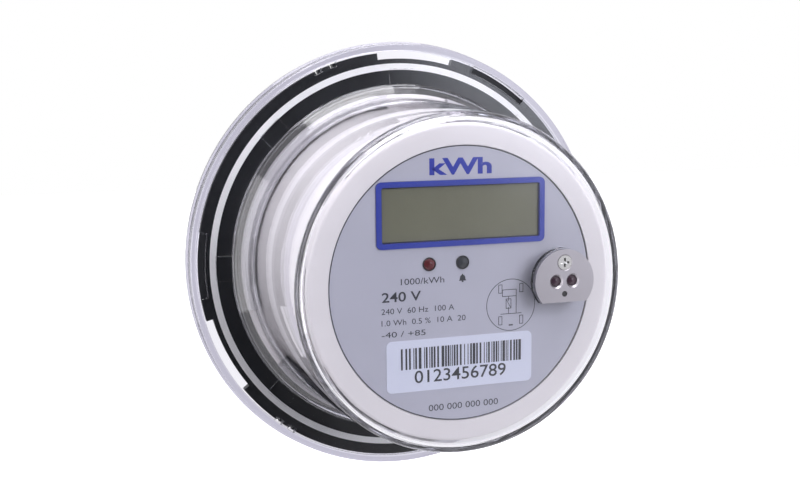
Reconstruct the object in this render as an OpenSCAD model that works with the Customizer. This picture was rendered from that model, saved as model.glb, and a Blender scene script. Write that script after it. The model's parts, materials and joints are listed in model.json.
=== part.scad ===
// Socket-mounted smart electric meter: round plug-in body, clear twist-off cover, four blades behind.
// X is right, Z is up and the display faces -Y. The origin is on the meter's axis, in the plane
// where its rim and the back of its base rest on the wall socket. The blades point along +Y.

/* [Rim and cover] */
// Radius of the lip that the socket's sealing ring clamps
rim_r = 88.25; // [86:0.05:110]
// Width of the lip along the axis
lip_d = 2.4; // [1.6:0.1:3.4]
// Depth from the socket plane to the front of the cover's flange
flange_d = 8.2; // [7.6:0.1:11]
// Thickness of the cover's flange
flange_wall = 2.2; // [1.8:0.1:2.7]
// Radial distance from the lip to the cover's front corner
flange_w = 27.05; // [26.5:0.05:30]
// Depth from the socket plane to the cover's front face
cover_depth = 79.5; // [78:0.5:110]
// Thickness of the cover's side wall
cover_wall = 2.3; // [1.8:0.05:2.8]
// Thickness of the cover's front
front_wall = 2.4; // [1.8:0.1:3]
// Outer rounding of the cover's front edge
edge_r = 3.4; // [2.8:0.1:4.5]
// Draft of the cover's side wall in degrees
draft = 4.5; // [3:0.1:5]
// Height of the step between the flange and the shoulder
riser_h = 2.2; // [1.6:0.1:2.8]
// Radial width of the shoulder
shoulder_w = 5.2; // [4.8:0.1:6]

/* [Twist lock] */
// Angle at the first lug's middle, from +X towards +Z
lug_a = 59; // [56:1:60]
// Angle that each lug spans
lug_span = 18; // [14:1:18]
// Turn from locked to the notch in degrees
twist = 26.5; // [26:0.5:27.5]
// Angle that each notch of the base rim spans
notch_span = 22.2; // [20:0.2:22.4]
// Angle from a lug to its pair of slots for the seal wire
seal_a = 53.2; // [52:0.2:54]
// Width of one seal slot round the rim
seal_slot_w = 3.4; // [2:0.1:4]

/* [Display and nameplate] */
// Width of the white ring around the nameplate
ring_w = 7.6; // [6:0.1:7.6]
// Width of the display frame
bezel_w = 63.2; // [50:0.2:63.2]
// Height of the display frame
bezel_h = 23.2; // [19:0.2:23.2]
// Border of the display frame
bezel_b = 1.9; // [1.6:0.1:2.6]
// Height of the display's middle above the axis
lcd_z = 25.6; // [24:0.1:25.6]
// Radius of each indicator window
lamp_r = 2.4; // [2:0.1:3]
// Height of the indicator windows above the axis
lamp_z = 8; // [5:0.1:8.5]
// Width of the barcode label
label_w = 55.4; // [40:0.2:60]
// Height of the barcode label
label_h = 18.6; // [14:0.2:20]

/* [Optical port] */
// Radius of the port's steel plate
port_r = 11.55; // [11:0.05:14]
// Distance from the meter's axis to the port's middle
port_x = 36.2; // [34:0.1:37]
// Distance from the port's middle down to its flat edge
port_flat = 7.6; // [7.4:0.1:9]
// Height of the boss under the plate
port_boss = 2.3; // [2:0.1:3.5]
// Thickness of the steel plate
port_plate_t = 1.2; // [1:0.1:2]
// Distance between the two light guides
guide_gap = 6.4; // [6:0.1:7]

/* [Blades and bars] */
// Distance from the axis to each blade, left and right
blade_x = 35.3; // [34:0.05:36.5]
// Distance from the axis to each blade, up and down
blade_z = 44.45; // [43:0.05:46]
// Thickness of a blade
blade_t = 2.4; // [2:0.05:3]
// Width of a blade
blade_w = 19.05; // [16:0.05:22]
// Length of a blade behind the socket plane
blade_out = 25.4; // [20:0.1:32]
// Thickness of the bars inside
bar_t = 3; // [2.4:0.1:4]
// Width of the bars inside
bar_w = 14; // [11:0.5:15]

/* [Boards] */
// Depth from the socket plane to the back of the metering board
meter_board_d = 42; // [40:0.5:43]
// Thickness of both circuit boards
board_t = 1.6; // [1:0.1:2]
// Sideways distance of the board pillars from the axis
pillar_x = 20; // [18:0.5:22]
// Upward distance of the board pillars from the axis
pillar_z = 43; // [42.5:0.5:44]

/* [Hidden] */
$fn = 96;

// Small overlap that makes a cut or a joint clean
eps = 0.05;
// Clearance between pieces that are fixed together
fit = 0.05;
// Clearance between the turning cover and the parts inside
run = 0.4;
// The lock repeats three times round the rim
lock_n = 3;

// Cover
skirt_r = rim_r - 0.65;
skirt_in_r = rim_r - 3.6;
flange_in_d = flange_d - flange_wall;
front_r = rim_r - flange_w;
wall_base_d = flange_d + 8.2;
wall_base_r = front_r + (cover_depth - edge_r - wall_base_d) * tan(draft);
shoulder_r = wall_base_r + shoulder_w;
front_in_d = cover_depth - front_wall;
corner_in_r = edge_r - cover_wall + 0.6;
shoulder_in = [shoulder_r - 0.2 - 0.77 * cover_wall, flange_d + riser_h - 0.64 * cover_wall];
wall_in = [wall_base_r - cover_wall + eps, wall_base_d - 0.35 * cover_wall];
window_in_r = skirt_in_r - 3.3;
window_out_r = skirt_in_r - 0.2;
pad_n = 8;
pad_w = 10;
pad_h = 0.5;

// Base
deck_d = flange_in_d - run;
base_rim_r = rim_r - 4.25;
base_body_r = rim_r - 7.25;
rim_back_d = deck_d - 3;
notch_r = base_rim_r - 2.6;
lug_in_r = notch_r + 0.8;
lug_top_d = rim_back_d - 0.3;
lug_low_d = 0.5;
seal_r = rim_r - 10.05;
seal_w = 1.9;
seal_h = 2;
seal_groove_d = 1.8;
seal_pair = 4.4;
seal_slot_r = skirt_in_r - 1.9;
seal_slot_t = 1.8;
seal_notch_w = 1;
stop_span = 2.8;
claw_out_r = shoulder_in[0] - 2.5;
claw_top_r = wall_in[0] - 0.26;
claw_in_r = claw_top_r - 2;
screw_a = lug_a + twist;
boss_h = 5;
boss_wall = 2.3;

// Inner housing
face_d = front_in_d - 2.1;
housing_front_d = face_d + 0.4;
housing_front_r = front_r - cover_wall - 1.9;
housing_base_r = claw_in_r - 0.4;
housing_wall = 1.8;
housing_low_d = deck_d + fit;
nameplate_t = 0.6;
plate_seat_d = face_d - nameplate_t;
housing_back_d = plate_seat_d - 2;
nameplate_r = housing_front_r - ring_w - 0.2;
housing_screw_r = housing_base_r - 5.2;
housing_screw_top = deck_d + 12;
housing_post_r = 4;
post_gap = 0.5;

// Display
lcd_x = -0.4;
lcd_w = bezel_w - 1.6;
lcd_h = bezel_h - 1.6;
lcd_t = 2.2;
lcd_back_d = plate_seat_d - fit - lcd_t;
display_board_d = housing_back_d - 7.4;
display_top_d = display_board_d + board_t;
display_board_r = housing_front_r - 6;
lamp_x = [-12.8, -0.3];
label_x = -1.2;
label_z = -27.9;

// Optical port
port_face_d = cover_depth + port_boss + port_plate_t;
plate_back_d = cover_depth + port_boss;
insert_r = port_r - 1.6;
insert_t = 1.6;
insert_low_d = front_in_d - 1;
port_screw_z = 6.75;
port_pin_z = -4.6;
stem_w = 13.6;
stem_h = 6.6;
light_slot = [12.4, 6];
guide_bore_r = 1.85;

// Blades and bars
sensor_r = 15;
sensor_hole_r = 8.5;
sensor_h = 14;
bar_mid_d = deck_d + sensor_r;
bar_low_d = bar_mid_d - bar_w / 2;
bar_top_d = bar_mid_d + bar_w / 2;
housing_slope = (housing_base_r - housing_front_r) / (housing_front_d - housing_low_d);
housing_in_r = housing_base_r - housing_slope * (bar_top_d - housing_low_d) - housing_wall;
bar_half = min(sqrt(pow(housing_in_r, 2) - pow(blade_x + blade_t, 2)), blade_z);
tab_w = 10.5;
bar_x = blade_x - blade_t / 2 - bar_t / 2;
bar_screw_z = bar_half - tab_w / 2;
cotter_d = -boss_h - 1.6;
bar_grip = blade_t + bar_t;

// Boards
meter_top_d = meter_board_d + board_t;
meter_board_r = 53;
pillar_r = 3.5;
stud_r = 1.45;
stud_bore_r = 1.5;
processor_at = [0, -12];
memory_at = [20, -36];
metering_chip_at = [-6, -40];
crystal_at = [8, -40];
capacitor_at = [14, -24];
varistor_at = [38.5, -10];
terminal_at = [14, 18];
link_x = 6;
link_z = 36;
link_pins = 8;
link_pitch = 2.54;
coil_x = -26;
coil_z = -18;
core_w = 28;
core_h = 22;
core_t = 14;
battery_x = -18;
battery_z = 20;
battery_r = 7.2;
battery_l = 25;

// Local frame of the face: x right, y up, z out of the wall towards the reader
module facing() {
    rotate([90, 0, 0]) children();
}

function arc(cx, cy, r, a0, a1, n) =
    [for (i = [0:n]) let (a = a0 + (a1 - a0) * i / n) [cx + r * cos(a), cy + r * sin(a)]];

// Part of a ring between two radii and two angles
module sector(r0, r1, a0, a1, h) {
    rotate([0, 0, a0]) rotate_extrude(angle = a1 - a0) translate([r0, 0]) square([r1 - r0, h]);
}

// Three copies, a third of a turn apart
module thirds() {
    for (i = [0:lock_n - 1]) rotate([0, 0, 360 / lock_n * i]) children();
}

module rounded_plate(w, h, r, t) {
    union() {
        translate([-w / 2 + r, -h / 2, 0]) cube([w - 2 * r, h, t]);
        translate([-w / 2, -h / 2 + r, 0]) cube([w, h - 2 * r, t]);
        for (x = [-1, 1], y = [-1, 1])
            translate([x * (w / 2 - r), y * (h / 2 - r), 0]) cylinder(r = r, h = t, $fn = 32);
    }
}

module block(x, y, w, h, d0, d1) {
    translate([x - w / 2, y - h / 2, d0]) cube([w, h, d1 - d0]);
}

module peg(x, y, r, d0, d1) {
    translate([x, y, d0]) cylinder(r = r, h = d1 - d0, $fn = 48);
}

// Straight round wire between two points
module wire(a, b, r) {
    v = b - a;
    len = norm(v);
    translate(a) rotate([0, acos(v[2] / len), atan2(v[1], v[0])]) cylinder(r = r, h = len, $fn = 24);
}

// Round wire through a list of points, with ball corners
module wire_path(points, r) {
    for (i = [0:len(points) - 2]) wire(points[i], points[i + 1], r);
    for (i = [1:len(points) - 2]) translate(points[i]) sphere(r = 1.1 * r, $fn = 24);
}

module four_pillars() {
    for (x = [-pillar_x, pillar_x], y = [-pillar_z, pillar_z]) translate([x, y, 0]) children();
}

// ---- Turning cover -------------------------------------------------------------------------

module cover_profile() {
    outer = concat(
        [[skirt_in_r, 0], [rim_r, 0], [rim_r, lip_d], [skirt_r, lip_d + 0.5]],
        arc(skirt_r - 1.2, flange_d - 0.9, 0.9, 0, 90, 4),
        [[shoulder_r, flange_d], [shoulder_r - 0.1, flange_d + riser_h - 0.4],
         [shoulder_r - 0.5, flange_d + riser_h]],
        [[wall_base_r + 0.9, wall_base_d - 1.6], [wall_base_r + 0.2, wall_base_d - 0.4],
         [wall_base_r - 0.05, wall_base_d + 1]],
        arc(front_r - edge_r, cover_depth - edge_r, edge_r, 0, 90, 6),
        [[0, cover_depth]]);
    inner = concat(
        [[0, front_in_d]],
        arc(front_r - cover_wall - corner_in_r, front_in_d - corner_in_r, corner_in_r, 90, 0, 4),
        [wall_in, shoulder_in, [shoulder_in[0], flange_in_d], [skirt_in_r, flange_in_d]]);
    polygon(concat(outer, inner));
}

// D-shaped outline with the flat edge at the bottom
module port_outline(r, flat) {
    intersection() {
        circle(r = r);
        translate([-r, -flat]) square([2 * r, flat + r]);
    }
}

module at_port(d) {
    translate([port_x, 0, d]) children();
}

// Slot with round ends that the infrared light passes through
module port_slot(w, h, t) {
    union() {
        translate([-(w - h) / 2, -h / 2, 0]) cube([w - h, h, t]);
        for (x = [-1, 1]) translate([x * (w - h) / 2, 0, 0]) cylinder(r = h / 2, h = t, $fn = 48);
    }
}

// Two slots side by side, which a seal wire loops through
module at_seal_slots() {
    for (s = [-1, 1]) rotate([0, 0, lug_a + seal_a + s * seal_pair / 2]) children();
}

module cover() {
    color([0.86, 0.88, 0.92, 0.35]) facing() difference() {
        union() {
            rotate_extrude() cover_profile();
            thirds() translate([0, 0, lug_low_d]) sector(lug_in_r, skirt_in_r + 0.5,
                lug_a - lug_span / 2, lug_a + lug_span / 2, lug_top_d - lug_low_d);
            for (i = [0:pad_n - 1]) rotate([0, 0, 360 / pad_n * i])
                translate([shoulder_r - 0.8, -pad_w / 2, flange_d - eps])
                    cube([seal_r - seal_w / 2 - shoulder_r + 0.8, pad_w, pad_h + eps]);
            at_port(cover_depth - eps) linear_extrude(port_boss + eps)
                port_outline(port_r + 0.25, port_flat + 0.25);
        }
        thirds() translate([0, 0, flange_in_d - 1])
            sector(window_in_r, window_out_r, lug_a - lug_span / 2, lug_a + lug_span / 2,
                flange_wall + 2);
        thirds() at_seal_slots() translate([seal_slot_r, -seal_slot_w / 2, flange_in_d - 1])
            cube([seal_slot_t, seal_slot_w, flange_wall + 2]);
        at_port(plate_back_d - insert_t) linear_extrude(insert_t + eps)
            port_outline(insert_r + fit, port_flat - 1.4 + fit);
        at_port(insert_low_d - eps) port_slot(stem_w + 2 * fit, stem_h + 2 * fit, port_boss + 6);
        at_port(front_in_d + 0.7)
            translate([0, port_screw_z, 0]) cylinder(r = stud_bore_r, h = port_boss + 4, $fn = 32);
    }
}

module port_plate() {
    color([0.70, 0.67, 0.68]) facing() at_port(plate_back_d) difference() {
        linear_extrude(port_plate_t) port_outline(port_r, port_flat);
        for (x = [-1, 1]) translate([x * guide_gap / 2, 0, -eps]) {
            cylinder(r = 2, h = port_plate_t + 2 * eps, $fn = 48);
            translate([0, 0, port_plate_t - 0.6 + eps]) cylinder(r1 = 2, r2 = 2.65, h = 0.65, $fn = 48);
        }
        translate([0, port_screw_z, -eps]) {
            cylinder(r = 1.6, h = port_plate_t + 2 * eps, $fn = 48);
            translate([0, 0, port_plate_t - 1.1]) cylinder(r1 = 1.8, r2 = 3, h = 1.2, $fn = 48);
        }
        translate([0, port_pin_z, -eps]) cylinder(r = 1.05, h = port_plate_t + 2 * eps, $fn = 32);
    }
}

module port_insert() {
    color([0.10, 0.10, 0.11]) facing() difference() {
        union() {
            at_port(plate_back_d - insert_t) linear_extrude(insert_t)
                port_outline(insert_r, port_flat - 1.4);
            at_port(insert_low_d) port_slot(stem_w, stem_h, plate_back_d - insert_low_d - eps);
            at_port(plate_back_d - eps) translate([0, port_pin_z, 0])
                cylinder(r = 1, h = port_plate_t - 0.2, $fn = 32);
        }
        for (x = [-1, 1]) at_port(insert_low_d - eps) translate([x * guide_gap / 2, 0, 0])
            cylinder(r = guide_bore_r, h = 20, $fn = 48);
        at_port(plate_back_d - insert_t - eps) translate([0, port_screw_z, 0])
            cylinder(r = 1.6, h = insert_t + 2 * eps, $fn = 32);
    }
}

module port_light_guides() {
    color([0.16, 0.10, 0.14]) facing() for (x = [-1, 1]) at_port(insert_low_d)
        translate([x * guide_gap / 2, 0, 0])
            cylinder(r = guide_bore_r - fit, h = plate_back_d - insert_low_d + 0.3, $fn = 48);
}

module port_screw() {
    color([0.78, 0.77, 0.72]) facing() at_port(0) translate([0, port_screw_z, 0]) difference() {
        union() {
            translate([0, 0, front_in_d + 0.9])
                cylinder(r = stud_r, h = plate_back_d - front_in_d, $fn = 32);
            translate([0, 0, port_face_d - 1.15]) cylinder(r1 = 1.5, r2 = 2.65, h = 0.9, $fn = 48);
            translate([0, 0, port_face_d - 0.26]) cylinder(r = 2.65, h = 0.2, $fn = 48);
        }
        for (a = [0, 90]) rotate([0, 0, a]) translate([-1.7, -0.4, port_face_d - 0.9])
            cube([3.4, 0.8, 2]);
    }
}

// ---- Base and sealing ----------------------------------------------------------------------

// Four places of the blades, in the face's frame
module at_blades() {
    for (x = [-1, 1], y = [-1, 1]) translate([x * blade_x, y * blade_z, 0]) children();
}

module claw_profile() {
    slope = (wall_in[1] - shoulder_in[1]) / (shoulder_in[0] - wall_in[0]);
    low_d = shoulder_in[1] + (shoulder_in[0] - claw_out_r) * slope - 0.75;
    top_d = wall_in[1] - 0.75;
    polygon([[claw_in_r, deck_d - 1], [claw_out_r, deck_d - 1], [claw_out_r, low_d],
        [claw_top_r, top_d], [claw_in_r, top_d]]);
}

module base() {
    color([0.07, 0.07, 0.08]) facing() difference() {
        union() {
            cylinder(r = base_body_r, h = deck_d, $fn = 128);
            translate([0, 0, rim_back_d]) cylinder(r = base_rim_r, h = deck_d - rim_back_d, $fn = 128);
            thirds() for (a = [lug_a - lug_span / 2 - stop_span - 1.2, screw_a + notch_span / 2 + 0.4])
                translate([0, 0, lug_low_d])
                    sector(base_body_r - 1, base_rim_r - 0.4, a, a + stop_span, rim_back_d);
            thirds() rotate([0, 0, screw_a + notch_span / 2])
                rotate_extrude(angle = 120 - notch_span) claw_profile();
            at_blades() translate([0, 0, -boss_h])
                rounded_plate(blade_t + 2 * boss_wall, blade_w + 2 * boss_wall, 2, boss_h + 1);
        }
        translate([0, 0, deck_d - seal_groove_d]) rotate_extrude()
            translate([seal_r - seal_w / 2 - 0.1, 0]) square([seal_w + 0.2, 3]);
        thirds() translate([0, 0, -1])
            sector(notch_r, rim_r, screw_a - notch_span / 2, screw_a + notch_span / 2, 20);
        thirds() at_seal_slots() translate([seal_slot_r, -seal_notch_w / 2, rim_back_d - 1])
            cube([rim_r - seal_slot_r, seal_notch_w, deck_d]);
        at_blades() {
            translate([-blade_t / 2 - fit, -blade_w / 2 - fit, -boss_h - 1])
                cube([blade_t + 2 * fit, blade_w + 2 * fit, boss_h + 1 + deck_d - 2]);
        }
        for (x = [-1, 1], y = [-1, 1])
            translate([x * blade_x - blade_t / 2 - fit, y * (bar_half - tab_w / 2) - tab_w / 2 - fit, 0])
                cube([blade_t + 2 * fit, tab_w + 2 * fit, deck_d + 1]);
        thirds() rotate([0, 0, screw_a]) translate([housing_screw_r, 0, -1]) {
            cylinder(r = 1.7, h = 20, $fn = 32);
            cylinder(r = 3.3, h = 3.4, $fn = 48);
        }
        four_pillars() translate([0, 0, deck_d - 4]) cylinder(r = stud_bore_r, h = 5, $fn = 32);
        for (i = [0:11]) translate([0, 0, -1])
            sector(base_body_r - 12.5, base_body_r - 6.5, i * 30 + 3.5, i * 30 + 26.5, 2);
    }
}

module cover_seal() {
    low = deck_d - seal_groove_d;
    color([0.92, 0.92, 0.93]) facing() rotate_extrude()
        polygon(concat([[seal_r - seal_w / 2, low], [seal_r + seal_w / 2, low]],
            arc(seal_r, low + seal_h - seal_w / 2, seal_w / 2, 0, 180, 8)));
}

// ---- Inner housing and face ----------------------------------------------------------------

module housing_profile() {
    outer = concat(
        [[housing_base_r - housing_wall, housing_low_d], [housing_base_r, housing_low_d]],
        arc(housing_front_r - 1.2, housing_front_d - 1.2, 1.2, 0, 90, 4),
        [[nameplate_r + 0.2, housing_front_d], [nameplate_r + 0.2, plate_seat_d], [0, plate_seat_d]]);
    inner = [[0, housing_back_d], [housing_front_r - housing_wall, housing_back_d]];
    polygon(concat(outer, inner));
}

module inner_housing() {
    slope = (wall_in[1] - shoulder_in[1]) / (shoulder_in[0] - wall_in[0]);
    key_r = claw_out_r - 0.2;
    key_d = shoulder_in[1] + (shoulder_in[0] - key_r) * slope - 1.1;
    color([0.90, 0.90, 0.92]) facing() difference() {
        union() {
            rotate_extrude() housing_profile();
            thirds() translate([0, 0, housing_low_d])
                sector(housing_base_r - 1, key_r, screw_a - notch_span / 2 + 0.5,
                    screw_a + notch_span / 2 - 0.5, key_d - housing_low_d);
            thirds() rotate([0, 0, screw_a]) translate([housing_screw_r, 0, housing_low_d + post_gap])
                cylinder(r = housing_post_r, h = housing_screw_top + 4 - housing_low_d - post_gap, $fn = 48);
        }
        block(lcd_x, lcd_z, lcd_w + 0.2, lcd_h + 0.2, housing_back_d - 1, plate_seat_d + 1);
        for (x = lamp_x) peg(x, lamp_z, lamp_r - 0.4 + fit, housing_back_d - 1, plate_seat_d + 1);
        at_port(housing_back_d - 1) port_slot(light_slot[0], light_slot[1], 4);
        thirds() rotate([0, 0, screw_a]) translate([housing_screw_r, 0, housing_low_d - 1])
            cylinder(r = stud_bore_r, h = housing_screw_top + 2 - housing_low_d, $fn = 32);
    }
}

module housing_screws() {
    color([0.62, 0.63, 0.65]) facing() thirds() rotate([0, 0, screw_a])
        translate([housing_screw_r, 0, 0]) difference() {
            union() {
                translate([0, 0, 0.4]) cylinder(r = 2.9, h = 2, $fn = 48);
                translate([0, 0, 2]) cylinder(r = stud_r, h = housing_screw_top - 2, $fn = 32);
            }
            for (a = [0, 90]) rotate([0, 0, a]) translate([-1.9, -0.45, -1]) cube([3.8, 0.9, 2.4]);
        }
}

module nameplate() {
    color([0.66, 0.70, 0.78]) facing() difference() {
        translate([0, 0, plate_seat_d]) cylinder(r = nameplate_r, h = nameplate_t, $fn = 128);
        translate([lcd_x, lcd_z, plate_seat_d - 1])
            rounded_plate(bezel_w + 2 * fit, bezel_h + 2 * fit, 2, nameplate_t + 2);
        for (x = lamp_x) peg(x, lamp_z, lamp_r + fit, plate_seat_d - 1, face_d + 1);
        at_port(plate_seat_d - 1) port_slot(light_slot[0], light_slot[1], nameplate_t + 2);
    }
}

module barcode_label() {
    color([0.86, 0.88, 0.96]) facing() translate([label_x, label_z, face_d])
        rounded_plate(label_w, label_h, 2, 0.15);
}

module display_frame() {
    color([0.10, 0.16, 0.60]) facing() translate([lcd_x, lcd_z, plate_seat_d]) difference() {
        rounded_plate(bezel_w, bezel_h, 2, nameplate_t + 0.5);
        translate([0, 0, -1])
            rounded_plate(bezel_w - 2 * bezel_b, bezel_h - 2 * bezel_b, 0.8, nameplate_t + 3);
    }
}

module display_glass() {
    color([0.42, 0.43, 0.35]) facing()
        block(lcd_x, lcd_z, lcd_w, lcd_h, lcd_back_d, lcd_back_d + lcd_t);
}

module display_reflector() {
    color([0.80, 0.82, 0.80]) facing()
        block(lcd_x, lcd_z, lcd_w - 0.6, lcd_h - 4.8, lcd_back_d - 1.8, lcd_back_d);
}

module display_holder() {
    color([0.85, 0.85, 0.83]) facing() difference() {
        block(lcd_x, lcd_z, lcd_w + 4, lcd_h + 4, display_top_d, housing_back_d - fit);
        block(lcd_x, lcd_z, lcd_w + 2 * fit, lcd_h + 2 * fit, display_top_d + 1, housing_back_d + 1);
        block(lcd_x, lcd_z, lcd_w - 6, lcd_h - 0.2, display_top_d - 1, display_top_d + 2);
    }
}

module contact_strips() {
    color([0.75, 0.45, 0.50]) facing() for (s = [-1, 1])
        block(lcd_x, lcd_z + s * (lcd_h / 2 - 1.2), lcd_w - 8, 1.8, display_top_d, lcd_back_d);
}

module lamp_window(x) {
    peg(x, lamp_z, lamp_r, plate_seat_d, face_d + 0.2);
    peg(x, lamp_z, lamp_r - 0.4, housing_back_d, plate_seat_d + eps);
}

module led(x, y, r) {
    peg(x, y, r + 0.35, display_top_d, display_top_d + 0.8);
    peg(x, y, r, display_top_d, display_top_d + 3.6);
    translate([x, y, display_top_d + 3.6]) intersection() {
        sphere(r = r, $fn = 32);
        cylinder(r = r + 1, h = r + 1, $fn = 32);
    }
}

module pulse_window() {
    color([0.55, 0.10, 0.12]) facing() lamp_window(lamp_x[0]);
}

module alarm_window() {
    color([0.30, 0.31, 0.33]) facing() lamp_window(lamp_x[1]);
}

module pulse_led() {
    color([0.85, 0.10, 0.10]) facing() led(lamp_x[0], lamp_z, 1.5);
}

module alarm_led() {
    color([0.75, 0.72, 0.60]) facing() led(lamp_x[1], lamp_z, 1.5);
}

module infrared_emitter() {
    color([0.20, 0.22, 0.45]) facing() led(port_x - guide_gap / 2, 0, 2);
}

module infrared_receiver() {
    color([0.08, 0.08, 0.09]) facing() led(port_x + guide_gap / 2, 0, 2);
}

// ---- Boards --------------------------------------------------------------------------------

module board(d, r, w, h) {
    difference() {
        intersection() {
            translate([0, 0, d]) cylinder(r = r, h = board_t, $fn = 128);
            block(0, 0, w, h, d - 1, d + board_t + 1);
        }
        four_pillars() translate([0, 0, d - 1]) cylinder(r = stud_bore_r + 0.1, h = board_t + 2, $fn = 32);
    }
}

// Flat chip with gull legs along two sides
module chip(x, y, w, h, d, t, dir) {
    legs = floor(w / 1.6);
    block(x, y, w, h, min(d + dir * 0.2, d + dir * t), max(d + dir * 0.2, d + dir * t));
    for (i = [0:legs - 1], s = [-1, 1])
        block(x - w / 2 + w * (i + 0.5) / legs, y + s * (h / 2 + 0.45), 0.5, 1.1,
            min(d, d + dir * 0.6), max(d, d + dir * 0.6));
}

module display_board() {
    color([0.10, 0.38, 0.22]) facing() board(display_board_d, display_board_r, 98, 96);
}

module processor() {
    color([0.09, 0.09, 0.10]) facing() {
        chip(processor_at[0], processor_at[1], 14, 12, display_board_d, 1.5, -1);
    }
}

module memory_chip() {
    color([0.09, 0.09, 0.10]) facing() {
        chip(memory_at[0], memory_at[1], 5, 4, display_board_d, 1.5, -1);
    }
}

module board_screws() {
    color([0.72, 0.72, 0.74]) facing() four_pillars() difference() {
        union() {
            translate([0, 0, display_top_d]) cylinder(r = 2.7, h = 1.8, $fn = 48);
            translate([0, 0, display_top_d - 6]) cylinder(r = stud_r, h = 6 + eps, $fn = 32);
        }
        for (a = [0, 90]) rotate([0, 0, a]) translate([-1.6, -0.4, display_top_d + 0.8]) cube([3.2, 0.8, 3]);
    }
}

module upper_pillars() {
    color([0.80, 0.80, 0.78]) facing() four_pillars() difference() {
        union() {
            translate([0, 0, meter_top_d])
                cylinder(r = pillar_r, h = display_board_d - meter_top_d, $fn = 6);
            translate([0, 0, meter_top_d - 6]) cylinder(r = stud_r, h = 7, $fn = 32);
        }
        translate([0, 0, display_board_d - 8]) cylinder(r = stud_bore_r, h = 9, $fn = 32);
    }
}

module lower_pillars() {
    color([0.80, 0.80, 0.78]) facing() four_pillars() difference() {
        union() {
            translate([0, 0, deck_d]) cylinder(r = pillar_r, h = meter_board_d - deck_d, $fn = 6);
            translate([0, 0, deck_d - 3.6]) cylinder(r = stud_r, h = 5, $fn = 32);
        }
        translate([0, 0, meter_board_d - 6]) cylinder(r = stud_bore_r, h = 7, $fn = 32);
    }
}

module board_link() {
    color([0.12, 0.12, 0.12]) facing() {
        block(link_x, link_z, link_pins * link_pitch, 5, meter_top_d, display_board_d - 6);
        for (i = [0:link_pins - 1])
            block(link_x + (i - (link_pins - 1) / 2) * link_pitch, link_z, 0.64, 0.64,
                display_board_d - 7, display_board_d);
    }
}

module metering_board() {
    color([0.10, 0.38, 0.22]) facing() board(meter_board_d, meter_board_r, 100, 98);
}

module metering_chip() {
    color([0.09, 0.09, 0.10]) facing() {
        chip(metering_chip_at[0], metering_chip_at[1], 13, 7, meter_top_d, 2.2, 1);
    }
}

module crystal() {
    color([0.78, 0.78, 0.80]) facing() translate([crystal_at[0], crystal_at[1], meter_top_d + 0.3])
        rounded_plate(11, 4.6, 2.2, 3.4);
}

module transformer_core() {
    mid_d = meter_top_d + 2 + core_h / 2;
    color([0.35, 0.35, 0.37]) facing() difference() {
        block(coil_x, coil_z, core_w, core_t, mid_d - core_h / 2 + 1, mid_d + core_h / 2 - 5);
        for (s = [-1, 1])
            block(coil_x + s * 7, coil_z, 6, core_t + 2, mid_d - core_h / 2 + 4.5, mid_d + core_h / 2 - 8.5);
    }
}

module transformer_coil() {
    mid_d = meter_top_d + 2 + core_h / 2;
    low = mid_d - core_h / 2 + 4.5 + fit;
    top = mid_d + core_h / 2 - 8.5 - fit;
    color([0.72, 0.62, 0.18]) facing() {
        difference() {
            block(coil_x, coil_z, 19.8, core_t + 11, low, top);
            block(coil_x, coil_z, 8 + 2 * fit, core_t + 2 * fit, low - 1, top + 1);
        }
        for (x = [-8, 8], y = [-11, 11]) block(coil_x + x, coil_z + y, 0.8, 0.8, meter_top_d, low + 1);
    }
}

module mains_capacitor() {
    color([0.15, 0.25, 0.60]) facing() {
        block(capacitor_at[0], capacitor_at[1], 26, 10, meter_top_d + 0.4, meter_top_d + 16.5);
        for (s = [-1, 1])
            peg(capacitor_at[0] + s * 11, capacitor_at[1], 0.4, meter_top_d, meter_top_d + 1);
    }
}

module varistor() {
    r = 8;
    color([0.10, 0.30, 0.65]) facing() {
        translate([varistor_at[0], varistor_at[1], meter_top_d + r + 1.5]) rotate([0, 90, 0])
            cylinder(r = r, h = 5, $fn = 64);
        for (s = [-1, 1])
            peg(varistor_at[0] + 2.5, varistor_at[1] + s * 3.7, 0.4, meter_top_d, meter_top_d + 4);
    }
}

module smoothing_capacitors() {
    color([0.12, 0.12, 0.14]) facing() {
        peg(8, 0, 5, meter_top_d, meter_top_d + 16);
        peg(24, -4, 6.2, meter_top_d, meter_top_d + 18);
    }
}

module backup_battery() {
    mid_d = meter_top_d + battery_r + 1.2;
    color([0.75, 0.76, 0.78]) facing() {
        translate([battery_x - battery_l / 2, battery_z, mid_d]) rotate([0, 90, 0])
            cylinder(r = battery_r, h = battery_l, $fn = 64);
        translate([battery_x + battery_l / 2 - eps, battery_z, mid_d]) rotate([0, 90, 0])
            cylinder(r = 2.4, h = 0.9, $fn = 32);
    }
}

module battery_holder() {
    mid_d = meter_top_d + battery_r + 1.2;
    color([0.08, 0.08, 0.09]) facing() difference() {
        block(battery_x, battery_z, battery_l + 5, 2 * battery_r + 2.4, meter_top_d, mid_d);
        translate([battery_x - battery_l / 2 - fit, battery_z, mid_d]) rotate([0, 90, 0])
            cylinder(r = battery_r + fit, h = battery_l + 1.2, $fn = 64);
    }
}

module lead_terminal() {
    color([0.15, 0.50, 0.25]) facing() translate([terminal_at[0], terminal_at[1], meter_top_d]) difference() {
        block(0, 0, 16, 9, 0, 10);
        for (x = [-4, 4]) {
            peg(x, 0, 2, 6, 11);
            block(x, 4, 5, 4, 1.5, 5);
        }
    }
}

// ---- Current path --------------------------------------------------------------------------

module at_sensor() {
    translate([-bar_x, 0, bar_mid_d]) rotate([-90, 0, 0]) children();
}

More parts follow.
